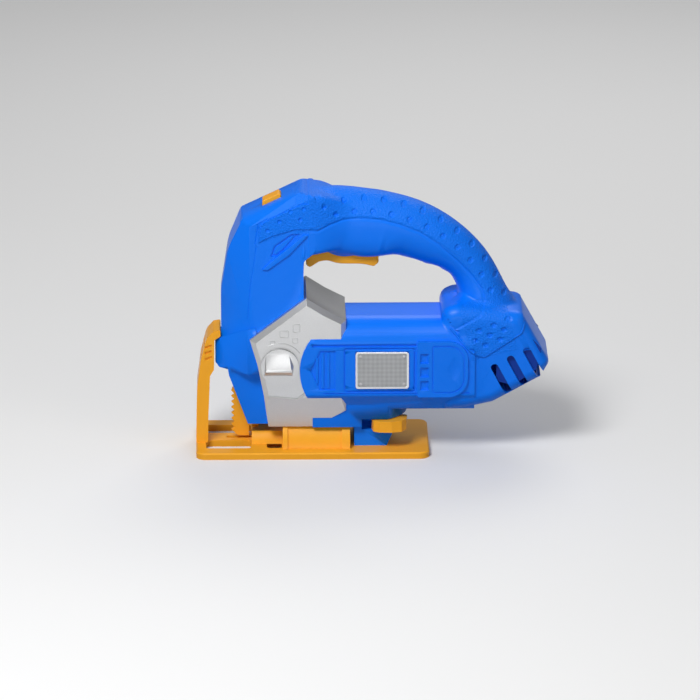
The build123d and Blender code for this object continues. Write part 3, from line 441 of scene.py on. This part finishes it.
def on_side(tree, x, z, flank):
    """The outer point of a surface at x and z, seen from a flank: -1 is the left. In millimetres."""
    hit = tree.ray_cast(Vector((x * MM, flank * REACH * MM, z * MM)), Vector((0, -flank, 0)))[0]
    return hit / MM if hit else Vector((x, flank * DEFAULT_SIDE, z))


def line_on_side(tree, points, flank, lift=0.0):
    """Points along a side-view polyline, laid on the surface about 1.5 mm apart."""
    laid = []
    for (x0, z0), (x1, z1) in zip(points, points[1:]):
        count = max(1, round(math.hypot(x1 - x0, z1 - z0) / 1.5))
        for k in range(count):
            t = k / count
            laid.append(on_side(tree, x0 + (x1 - x0) * t, z0 + (z1 - z0) * t, flank))
    laid.append(on_side(tree, *points[-1], flank))
    return [p + Vector((0, flank * lift, 0)) for p in laid]


def tube(name, points, radius, cyclic=False):
    """A round bead through points given in millimetres, as a closed mesh."""
    curve = bpy.data.curves.new(name, "CURVE")
    curve.dimensions = "3D"
    curve.bevel_depth = radius * MM
    curve.bevel_resolution = 2
    curve.use_fill_caps = True
    spline = curve.splines.new("POLY")
    spline.points.add(len(points) - 1)
    for knot, point in zip(spline.points, points):
        knot.co = (*(Vector(point) * MM), 1)
    spline.use_cyclic_u = cyclic
    piece = bpy.data.objects.new(name, curve)
    bpy.context.scene.collection.objects.link(piece)
    pick(piece)
    bpy.ops.object.convert(target="MESH")
    piece = bpy.context.view_layer.objects.active
    piece.name = name
    return piece


def ball(point, radius):
    """A sphere at a point given in millimetres."""
    bpy.ops.object.select_all(action="DESELECT")
    bpy.ops.mesh.primitive_uv_sphere_add(
        segments=16, ring_count=10, radius=radius * MM, location=Vector(point) * MM
    )
    return settle(bpy.context.object)


def rod(x, z, y_low, y_high, radius):
    """A cylinder across the tool."""
    bpy.ops.object.select_all(action="DESELECT")
    bpy.ops.mesh.primitive_cylinder_add(
        vertices=24, radius=radius * MM, depth=(y_high - y_low) * MM,
        location=Vector((x, (y_low + y_high) / 2, z)) * MM, rotation=(math.pi / 2, 0, 0),
    )
    return settle(bpy.context.object)


def slab(name, points, y_low, y_high):
    """A side-view outline filled between two values of y."""
    bpy.ops.object.select_all(action="DESELECT")
    bpy.ops.mesh.primitive_circle_add(vertices=len(points), radius=MM, fill_type="NGON")
    piece = bpy.context.object
    piece.name = name
    for corner, (x, z) in zip(piece.data.vertices, points):
        corner.co = (x * MM, y_low * MM, z * MM)
    with editing(piece):
        bpy.ops.mesh.extrude_region_move(TRANSFORM_OT_translate={"value": (0, (y_high - y_low) * MM, 0)})
        bpy.ops.mesh.select_all(action="SELECT")
        bpy.ops.mesh.normals_make_consistent(inside=False)
    return piece


def flank_slab(name, points, flank, low, high):
    """A slab between two distances from the middle plane, on one flank."""
    return slab(name, points, *sorted((flank * low, flank * high)))


def barrel_slab(name, points, high, low):
    """A slab between two heights above the barrel's left side; below zero is inside it."""
    return slab(name, points, -(BARREL_SIDE + high), -(BARREL_SIDE + low))


def rounded_box_points(x0, z0, x1, z1, radii, steps=6):
    """Rectangle with rounded corners, from the low corner counter-clockwise, with one radius or four."""
    points = []
    corners = ((x0, z0, 1, 1, 180), (x1, z0, -1, 1, 270), (x1, z1, -1, -1, 0), (x0, z1, 1, -1, 90))
    for (cx, cz, sx, sz, start), r in zip(corners, radii if isinstance(radii, list) else [radii] * 4):
        for k in range(steps + 1):
            a = math.radians(start + 90 * k / steps)
            points.append((cx + sx * r + r * math.cos(a), cz + sz * r + r * math.sin(a)))
    return points


# ---- blue shell -------------------------------------------------------------------------------
# outlines in side view, x and z in millimetres
def arc_point(degrees, radius):
    """A point on a circle about the centre of the grip's arc."""
    a = math.radians(degrees)
    return (GRIP_CENTRE[0] + radius * math.cos(a), GRIP_CENTRE[1] + radius * math.sin(a))


grip_line = [
    (-69.6, 130.6), (-60.2, 135.6), (-46.5, 139.7), (-37.0, 140.0), (-32.4, 139.8), (-25.8, 143.1),
    (-17.6, 145.8), (-7.2, 146.5), (5.4, 145.3), (16.8, 142.1), (28.2, 137.5), (39.6, 129.8),
    (51.2, 118.9), (58.8, 111.0), (66.2, 100.8), (67.5, 94.4), (64.8, 87.4), (50.6, 79.4),
]
foot_rim = [(47.2, 81.2), (56.7, 67.6), (62.6, 62.8), (66.8, 62.4), (88.8, 77.1), (90.6, 82.8)]
DIMPLE_STEP = 7.4           # degrees between the grip's dimples
dimples = [arc_point(103 - DIMPLE_STEP * k, GRIP_RADIUS + 10.4) for k in range(12)]
dimples += [arc_point(99.3 - DIMPLE_STEP * k, GRIP_RADIUS + 4.0) for k in range(11)]
for row in range(3):
    dimples += [(63.6 + 8.6 * column - 2.4 * row, 78.6 - 6.2 * row + 3.4 * column) for column in range(3)]
recess = [
    (-61.0, 123.4), (-58.7, 130.2), (-48.7, 137.4), (-43.5, 137.4), (-46.0, 134.2), (-51.7, 127.1),
    (-57.0, 123.4),
]
insert = [(-59.4, 124.6), (-57.6, 129.4), (-48.2, 136.2), (-46.4, 136.2), (-53.0, 128.2), (-57.4, 124.6)]
wedge = [(-66.0, 115.3), (-62.4, 118.9), (-40.6, 137.2), (-38.4, 136.6), (-50.0, 124.2), (-62.6, 115.0)]
nape = [
    (-68.0, 132.2), (-66.5, 143.2), (-59.8, 147.4), (-42.0, 155.9), (-35.0, 155.9), (-35.0, 140.2),
    (-46.5, 140.2), (-60.2, 136.1),
]
nape_dimples = [(-62.6, 139.6), (-55.6, 145.2), (-49.0, 151.4), (-43.0, 146.4), (-41.0, 153.0)]
# outline of the dark sheet behind the vents, which paints the shade in their hollow
vent_shade_sheet = [(74.0, 46.0), (84.0, 43.0), (98.0, 53.0), (101.0, 66.0), (94.0, 74.0), (74.0, 62.0)]
head_line = [(-70.2, 130.6), (-68.2, 143.6), (-62.6, 147.2)]
head_crease = [(-69.4, 130.0), (-71.0, 118.0), (-73.2, 104.0), (-74.6, 84.0)]
seam = [(-36.5, 69.0), (26.0, 69.0), (26.0, 70.6), (-35.8, 70.6)]
hip = [(-29.5, 40.2), (58, 40.2), (58, 39.6), (-29.5, 39.6)]
grille_bay = [(-37.4, 54.5), (-31.8, 42.0), (-22.4, 42.0), (-22.4, 66.8), (-31.8, 66.8)]


def head_cutters(tree, flank):
    """Recess and fine lines of the head on one half of the blue shell."""
    return [
        flank_slab("recess", recess, flank, 18.1, 24),
        tube("head_line", line_on_side(tree, head_line, flank), 0.35),
        tube("head_crease", line_on_side(tree, head_crease, flank), 0.22),
    ]


def head_trims(flank):
    """Grained pad behind the head, the insert in its recess, the wedge below it, and a dark blue sheet behind
    the vents, painted shade.
    """
    pad = flank_slab(f"nape_pad_{flank}", nape, flank, 18.4, 19.65)
    round_edges(pad, 0.45)
    for x, z in nape_dimples:
        cut(pad, [ball((x, flank * 20.4, z), 1.6)])
    smooth(pad)
    trims = [flank_slab("insert", insert, flank, 17.6, 18.75), flank_slab("wedge", wedge, flank, 18.0, 20.1)]
    for trim in trims:
        round_edges(trim, 0.5)
    # a dark blue sheet behind the vents' slots: painted shade where their hollow would be dark
    vent_shade = flank_slab("vent_shade_sheet", vent_shade_sheet, flank, 22.8, 22.2)
    round_edges(vent_shade, 0.1)
    place(join(f"head_trim_{flank}", trims), "tool", "blue_plastic")
    place(pad, "tool", "blue_plastic")
    place(vent_shade, "tool", "blue_plastic", material=shadow_blue)


def panel_cutters():
    """Grooves of the left side of the barrel: the long seam, the plate bay and the grille bay."""
    bay = barrel_slab("bay", rounded_box_points(-17.4, 40.6, 25.4, 68.4, 1.5), 0.6, -0.8)
    cut(bay, [barrel_slab("island", rounded_box_points(-16.5, 41.5, 24.5, 67.5, 1.2), 1.6, -1.7)])
    return [
        barrel_slab("seam", seam, 1.0, -1.1),
        bay,
        barrel_slab("grille_bay", grille_bay, 1.0, -1.0),
        barrel_slab("hip", hip, 1.0, -0.5),
    ]


def blue_half(name, node, flank):
    """One half of the blue shell with its lines cut in. Returns its surface as it was before."""
    shell = cad_copy(name, node)
    tree = surface_of(shell)
    cut(shell, head_cutters(tree, flank))
    if flank < 0:
        cut(shell, panel_cutters())
    smooth(shell, 32)
    place(shell, "tool", "blue_plastic", node)
    head_trims(flank)
    return tree


left_surface = blue_half("left_shell", "left_housing", -1)
right_surface = blue_half("right_shell", "right_housing", 1)


# ---- grip skin of the handle ------------------------------------------------------------------
# centre line of the handle: x, z, direction in degrees, half height and half width
handle_stations = [
    (-48, 141.2, 0, 18.8, 14.6), (-30, 142.0, -2, 18.6, 15), (-4, 139.0, -5, 20, 15.5),
    (22, 135.3, -17, 17.2, 15.5), (38.2, 128.2, -28, 15.6, 15), (49.6, 121.2, -43, 13.4, 14.2),
    (58.4, 112.3, -60, 12.4, 13.8), (63.6, 102.4, -73, 13, 14.6), (66.4, 92, -77, 15.6, 17),
    (69.6, 78, -77, 16.8, 20), (73.6, 60.6, -77, 17, 20),
]
SKIN_START = 5.0            # millimetres along the centre line
SKIN_ALONG, SKIN_AROUND = 390, 190
SKIN_THICK = 0.25
HEAD_BACK = -36.8           # x where the head ends on the handle
TRIGGER_SLOT_HALF = 7.6


def smoothstep(low, high, value):
    t = np.clip((value - low) / (high - low), 0, 1)
    return t * t * (3 - 2 * t)


def beyond(points, x, z):
    """Distance of each place to a polyline in side view: above zero on its left, below on its right."""
    best = np.full(x.shape, 1e9)
    side = np.zeros(x.shape)
    for (x0, z0), (x1, z1) in zip(points, points[1:]):
        dx, dz = x1 - x0, z1 - z0
        t = np.clip(((x - x0) * dx + (z - z0) * dz) / (dx * dx + dz * dz), 0, 1)
        d = np.hypot(x - x0 - t * dx, z - z0 - t * dz)
        nearer = d < best
        best = np.where(nearer, d, best)
        side = np.where(nearer, np.sign(dx * (z - z0) - dz * (x - x0)), side)
    return best * side


def handle_frame():
    """Centre, direction, half height and half width at even steps along the handle."""
    rows = []
    for (x0, z0, a0, h0, w0), (x1, z1, a1, h1, w1) in zip(handle_stations, handle_stations[1:]):
        chord = math.hypot(x1 - x0, z1 - z0)
        t = np.linspace(0, 1, max(4, int(chord * 4)), endpoint=False)[:, None]
        ends = np.array([[x0, z0], [x1, z1]])
        slopes = np.array([[math.cos(math.radians(a)), math.sin(math.radians(a))] for a in (a0, a1)]) * chord
        ease = 3 * t**2 - 2 * t**3
        centre = (2 * t**3 - 3 * t**2 + 1) * ends[0] + (t**3 - 2 * t**2 + t) * slopes[0]
        centre += ease * ends[1] + (t**3 - t**2) * slopes[1]
        rows.append(np.hstack([centre, a0 + (a1 - a0) * t, h0 + (h1 - h0) * ease, w0 + (w1 - w0) * ease]))
    rows = np.vstack(rows)
    run = np.concatenate([[0], np.cumsum(np.hypot(*np.diff(rows[:, :2], axis=0).T))])
    steps = np.linspace(SKIN_START, run[-1], SKIN_ALONG)
    return np.stack([np.interp(steps, run, rows[:, k]) for k in range(5)], axis=1)


def shell_radius(x, z, ways, oval):
    """How far the blue shell lies from the centre line in each direction, or the oval's radius."""
    radius = oval.copy()
    for i in range(SKIN_ALONG):
        centre = Vector((x[i, 0], 0, z[i, 0])) * MM
        for j in range(SKIN_AROUND):
            way = Vector(ways[i, j])
            tree = left_surface if way.y < 0 else right_surface
            found = tree.ray_cast(centre + way * 0.08, -way, 0.079)[0]
            if found:
                reach = (found - centre).length / MM
                if 0.85 * oval[i, j] < reach < 2.1 * oval[i, j]:
                    radius[i, j] = reach
    return radius


def faired_radius(hit, oval, x, angle):
    """The shell's radius, run out smoothly from the back of the head and evened."""
    begin = np.searchsorted(x[:, 0], HEAD_BACK)
    top = np.abs(np.cos(angle[begin])) * (np.abs(angle[begin]) < 1.2)
    end_x = -12 - 14 * smoothstep(0.75, 0.98, top)
    fair = hit.copy()
    for j in range(SKIN_AROUND):
        stop = np.searchsorted(x[: SKIN_ALONG // 2, 0], end_x[j])
        t = smoothstep(begin, stop, np.arange(begin, stop))
        fair[begin:stop, j] = hit[begin, j] * (1 - t) + hit[stop, j] * t
    limit = np.minimum(fair, oval * 1.5)
    even = np.maximum(np.maximum(hit, limit * (x < 0)), oval * (x < 24))
    for _ in range(14):
        even[1:-1] = (even[:-2] + 2 * even[1:-1] + even[2:]) / 4
        even[:, 1:-1] = (even[:, :-2] + 2 * even[:, 1:-1] + even[:, 2:]) / 4
    return np.maximum(even, hit) + SKIN_THICK


def grip_relief(flat_x, flat_z, angle):
    """Height of the raised grip, its crease and its dimples, less what sinks outside the foot's rim."""
    signed = beyond(grip_line, flat_x, flat_z)
    sideways = np.abs(np.sin(angle))
    beside = sideways > 0.25
    raised = smoothstep(-0.3, 0.5, np.where(beside, signed, np.where(np.abs(angle) < 1.4, 5, -5)))
    relief = 0.4 * raised - 0.4 * np.exp(-((signed + 0.7) / 0.6) ** 2) * beside
    for dimple_x, dimple_z in dimples:
        away = np.hypot(flat_x - dimple_x, flat_z - dimple_z)
        relief -= 1.25 * (1 - smoothstep(0.9, 1.7, away)) * (sideways > 0.3)
    below = smoothstep(-0.2, 0.9, -beyond(foot_rim, flat_x, flat_z)) * (flat_z < 90)
    behind = smoothstep(0, 1.0, flat_x - foot_rim[-1][0] + (flat_z - foot_rim[-1][1]) * 0.25) * (flat_z < 100)
    before = smoothstep(0, 1.0, 79.0 - flat_z) * (flat_x < 50.6)
    return relief - 1.4 * np.clip(below + behind + before, 0, 1)


def handle_skin():
    """Fine skin over the handle and its foot: faired into the head, raised along the grip, dimpled."""
    rows = handle_frame()
    x, z, turn, high, wide = (rows[:, k][:, None] for k in range(5))
    turn = np.radians(turn)
    slot = smoothstep(-44, -40, x) * (1 - smoothstep(6, 10, x))
    last = math.pi - 0.02 - slot * np.arcsin(TRIGGER_SLOT_HALF / high)
    angle = np.linspace(-1, 1, SKIN_AROUND)[None, :] * last
    ways = np.stack([-np.sin(turn) * np.cos(angle), np.sin(angle), np.cos(turn) * np.cos(angle)], axis=-1)
    power = 2 + 1.3 * (np.abs(angle) > math.pi / 2) * (1 - smoothstep(4, 22, x))
    oval = (np.abs(np.cos(angle) / high) ** power + np.abs(np.sin(angle) / wide) ** power) ** (-1 / power)
    radius = faired_radius(shell_radius(x, z, ways, oval), oval, x, angle)
    radius += grip_relief(x + ways[..., 0] * radius, z + ways[..., 2] * radius, angle)
    # the skin's edges sink into the shell under it
    edge = np.minimum(np.arange(SKIN_AROUND), np.arange(SKIN_AROUND)[::-1])[None, :]
    radius -= 1.0 * (1 - smoothstep(0, 3, edge)) * (1 - slot) + 0.4 * (1 - smoothstep(0, 2, edge)) * slot
    radius -= 0.9 * (1 - smoothstep(-39.5, -37.5, x))
    bpy.ops.object.select_all(action="DESELECT")
    bpy.ops.mesh.primitive_grid_add(x_subdivisions=SKIN_AROUND - 1, y_subdivisions=SKIN_ALONG - 1, size=0.1)
    skin = bpy.context.object
    skin.name = "handle_skin"
    way_x, way_y, way_z = np.moveaxis(ways, -1, 0)
    up = np.minimum((z + way_z * radius) * MM, cad_box[1][2] - 0.05 * MM)
    points = np.stack([(x + way_x * radius) * MM, way_y * radius * MM, up], axis=-1)
    skin.data.vertices.foreach_set("co", points.reshape(-1))
    skin.data.update()
    if sum(p.normal.z for p in skin.data.polygons if p.center.z > 0.155) < 0:
        with editing(skin):
            bpy.ops.mesh.flip_normals()
    smooth(skin, 60)
    place(skin, "tool", "blue_plastic")


handle_skin()


# ---- details of the left flank ----------------------------------------------------------------
def name_plate():
    """Bare plate: bright rim, pale face, a rivet in each corner."""
    rim = barrel_slab("plate_rim", rounded_box_points(-10.4, 43.0, 21.6, 66.2, 1.6), 1.1, -0.8)
    round_edges(rim, 0.3)
    cut(rim, [barrel_slab("pocket", rounded_box_points(-9.2, 44.2, 20.4, 65.0, 1.0), 2, 0.7)])
    smooth(rim)
    face = barrel_slab("plate_face", rounded_box_points(-9.15, 44.25, 20.35, 64.95, 1.0), 0.85, 0.5)
    round_edges(face, 0.05)
    rivets = []
    for x in (-7.4, 18.6):
        for z in (46.0, 63.2):
            rivet = rod(x, z, -28.35, -27.6, 0.95)
            round_edges(rivet, 0.32)
            groove = [(x - 0.9, z - 0.15), (x + 0.9, z - 0.15), (x + 0.9, z + 0.15), (x - 0.9, z + 0.15)]
            rivets.append(cut(rivet, [barrel_slab("groove", groove, 2, 1.2)]))
    place(rim, "tool", "plate_chrome", "nameplate")
    place(face, "tool", "plate_chrome", material=plate_face)
    place(join("plate_rivets", rivets), "tool", "screw_steel")


def side_cover():
    """Cover with three stacked windows, a rim line and a finger scoop."""
    cover = cad_copy("side_cover_finished", "side_cover")
    dissolve_flats(cover)
    round_edges(cover, 0.7)
    cutters = []
    for low, high in ((42.0, 48.0), (50.2, 56.4), (58.8, 65.0)):
        cutters.append(barrel_slab("window", rounded_box_points(28.2, low, 33.4, high, 0.5, 3), 2, 0.5))
    for low, high in ((42.9, 47.1), (51.1, 55.5), (59.7, 64.1)):
        cutters.append(barrel_slab("window_deep", rounded_box_points(29.2, low, 32.6, high, 0.4, 3), 2, 0.1))
    line = barrel_slab("line", rounded_box_points(35.4, 40.2, 55.0, 70.0, [1.5, 9, 9, 1.5]), 2, 0.95)
    island = rounded_box_points(36.2, 41.0, 54.2, 69.2, [1.2, 8.4, 8.4, 1.2])
    cutters.append(cut(line, [barrel_slab("island", island, 3, -1)]))
    scoop = ball((0, 0, 0), 14.0)
    scoop.scale = (0.72, 1.0, 1.55)
    scoop.location = Vector((48.6, -41.2, 55.2)) * MM
    cutters.append(settle(scoop))
    for cutter in cutters:
        cut(cover, [cutter])
    smooth(cover)
    place(cover, "tool", "blue_plastic", "side_cover")


def grille_ribs():
    """Three upright ribs in the grille bay."""
    ribs = []
    for x, low, high in ((-33.4, 46.2, 62.6), (-30.0, 43.2, 65.6), (-26.6, 43.2, 65.6)):
        ribs.append(barrel_slab("rib", rounded_box_points(x - 0.8, low, x + 0.8, high, 0.4, 3), -0.15, -1.2))
        round_edges(ribs[-1], 0.3)
    place(join("grille_ribs", ribs), "tool", "blue_plastic")


COLLAR_FACE = -25.98        # y of the collar's left face
KNOB_AXIS = (-55.5, 56.7)
# x, z, half width and half height
collar_outlines = [
    (-53.0, 77.0, 2.6, 2.0), (-45.6, 80.6, 2.0, 2.4), (-46.4, 72.8, 1.6, 1.5), (-60.0, 71.4, 1.5, 1.2)
]


def collar_trims():
    """Raised lip and faint outlines on the left face of the gear collar."""
    beads = [tube("lip", [(-63.4, -25.9, 38.0), (-45.0, -25.9, 36.0), (-40.4, -25.9, 40.0)], 0.75)]
    for x, z, half, tall in collar_outlines:
        corners = rounded_box_points(x - half, z - tall, x + half, z + tall, 0.5, 2)
        beads.append(tube("outline", [(a, COLLAR_FACE, b) for a, b in corners], 0.22, cyclic=True))
    turns = [k / 10 for k in range(6, 22)]
    arc = [(KNOB_AXIS[0] + 14.5 * math.cos(a), COLLAR_FACE, KNOB_AXIS[1] + 14.5 * math.sin(a)) for a in turns]
    beads.append(tube("arc", arc, 0.22))
    for bead in beads:
        smooth(bead)
    place(join("collar_trims", beads), "tool", "silver_paint")


def foot_bead(tree, flank):
    """Ridge round the seat of the handle's foot."""
    bead = tube(f"foot_bead_{flank}", line_on_side(tree, [(46.2, 80.2)] + foot_rim[1:], flank, 0.15), 0.7)
    smooth(bead)
    place(bead, "tool", "blue_plastic")


name_plate()
side_cover()
grille_ribs()
collar_trims()
foot_bead(left_surface, -1)
foot_bead(right_surface, 1)


# ---- softened copies of the CAD pieces that show ----------------------------------------------
# each node, with the width of its rounded edges in millimetres
softened = {
    "left_collar": 0.5, "right_collar": 0.5, "shoe": 0.5, "guard": 0.9, "saddle": 0.6, "trigger": 1.1,
    "bevel_lever": 0.6, "lock_button": 0.8, "selector_knob": 0.5, "blade": 0.15, "battery_door": 0.4,
}


def guard_slits(guard):
    """Three slanting slits in each side of the guard."""
    for z in (57.6, 61.2, 64.8):
        slit = [(-100.4, z - 1.6), (-96.2, z), (-96.2, z + 1.3), (-100.6, z - 0.2)]
        for flank in (-1, 1):
            cut(guard, [flank_slab("slit", slit, flank, 10, 13)])
    smooth(guard)


for node, width in softened.items():
    piece = cad_copy(node + "_finished", node)
    dissolve_flats(piece)
    round_edges(piece, width)
    if node == "guard":
        guard_slits(piece)
    place(piece, BODY_OF_NODE[node], SLOT_OF_NODE[node], node)


# ---- camera, light and floor ------------------------------------------------------------------
def hang(name, data, spot, target):
    """Puts a camera or a lamp at a spot, in metres, turned to a target."""
    holder = bpy.data.objects.new(name, data)
    bpy.context.scene.collection.objects.link(holder)
    holder.location = spot
    holder.rotation_euler = (Vector(target) - holder.location).to_track_quat("-Z", "Y").to_euler()
    return holder


ELEVATION, AZIMUTH, DISTANCE = math.radians(18), math.radians(-1), 4.0
LOOK_AT = Vector((-0.0132, 0, 0.0585))
view_from = Vector((
    math.sin(AZIMUTH) * math.cos(ELEVATION), -math.cos(AZIMUTH) * math.cos(ELEVATION), math.sin(ELEVATION)
))
camera = hang("camera", bpy.data.cameras.new("camera"), LOOK_AT + DISTANCE * view_from, LOOK_AT)
camera.data.lens = 342
bpy.context.scene.camera = camera


def lamp(name, spot, size, power):
    """A rectangular lamp that points at the tool."""
    light = bpy.data.lights.new(name, "AREA")
    light.shape = "RECTANGLE"
    light.size, light.size_y = size
    light.energy = power
    hang(name, light, spot, (0, 0, 0.08))


lamp("key", (-0.40, -0.72, 1.0), (0.5, 0.35), 10.5)
lamp("front", (-0.15, -1.3, 0.1), (0.8, 0.25), 2.6)
lamp("fill", (0.9, -0.7, 0.55), (0.5, 0.9), 1.4)
lamp("back", (0.2, 0.9, 0.9), (0.8, 0.5), 4.0)

# the sky is white overhead and grey below
world = bpy.data.worlds.new("studio")
bpy.context.scene.world = world
world.use_nodes = True
background = world.node_tree.nodes["Background"]
background.inputs["Strength"].default_value = 0.24
sky = Nodes(world.node_tree)
rise = sky.axes(sky.node("ShaderNodeTexCoord", {}, {}, "Generated"))[2]
sky.mix((rise * 0.9 + 0.35).clamped(), (0.32, 0.33, 0.35), (1.0, 1.0, 1.0)).plug(background.inputs["Color"])

# the floor is pale where it is seen and darker in the light that it sends up
bpy.ops.object.select_all(action="DESELECT")
bpy.ops.mesh.primitive_plane_add(size=8, location=(0, 0, 0))
floor = bpy.context.object
floor.name = "floor"
paper = Finish("floor_paper", (0.88, 0.88, 0.88), 0.9)
seen = paper.node("ShaderNodeLightPath", {}, {}, "Is Camera Ray")
rays = seen.socket.node.outputs
for kind in ("Is Glossy Ray", "Is Transmission Ray"):
    seen = seen + Field(paper.tree, rays[kind])
mottled = paper.mix(paper.noise(3.0), (0.87, 0.87, 0.87), (0.89, 0.89, 0.89))
paper.feed(colour=paper.mix(seen.clamped(), (0.3, 0.3, 0.3), mottled))
coat(floor, paper.material)

bpy.context.scene.view_settings.view_transform = "Standard"
